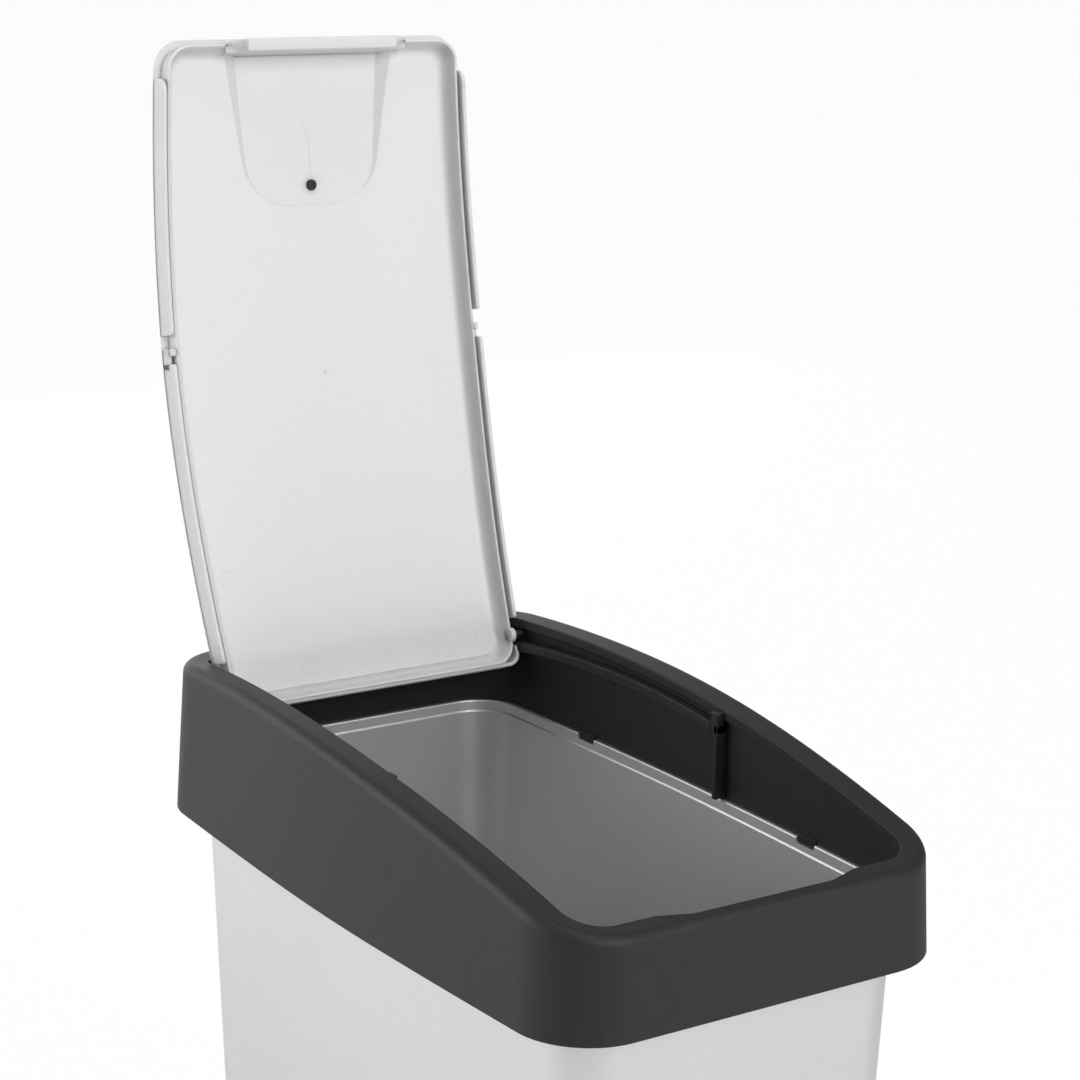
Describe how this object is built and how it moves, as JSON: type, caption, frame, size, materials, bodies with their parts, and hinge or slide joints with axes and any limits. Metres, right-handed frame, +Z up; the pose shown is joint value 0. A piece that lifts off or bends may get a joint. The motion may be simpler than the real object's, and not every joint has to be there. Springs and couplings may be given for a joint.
{
  "type": "waste_bin",
  "caption": "Rectangular countertop waste bin: tapered light grey bucket, dark sloping lift-off collar, and a curved light grey lid hinged at the back, standing open",
  "frame": {"origin": "Centre of the bucket's flat underside, on the surface that it stands on", "axes": "+X across the width to the right as seen from the front, +Y along the length from the low front to the hinged back, +Z up"},
  "size_m": [0.1998, 0.3641, 0.6011],
  "materials": {
    "bucket_plastic": "smooth light grey moulded plastic with a soft sheen",
    "collar_plastic": "fine-grained matte dark grey moulded plastic",
    "lid_plastic": "smooth light grey moulded plastic with a soft sheen",
    "stud_plastic": "plain black moulded plastic"
  },
  "bodies": {
    "bucket_body": {"bucket": "bucket_plastic"},
    "collar_body": {"collar": "collar_plastic"},
    "lid_body": {"lid": "lid_plastic", "lid_stud": "stud_plastic"}
  },
  "joints": [
    {"name": "collar_lift", "type": "slide", "parent": "bucket_body", "child": "collar_body", "axis": [0, 0, 1], "range_m": [0, 0.12]},
    {"name": "lid_hinge", "type": "hinge", "parent": "collar_body", "child": "lid_body", "pos_m": [0, 0.1297, 0.32219], "axis": [1, 0, 0], "range_deg": [0, 106.4]}
  ]
}
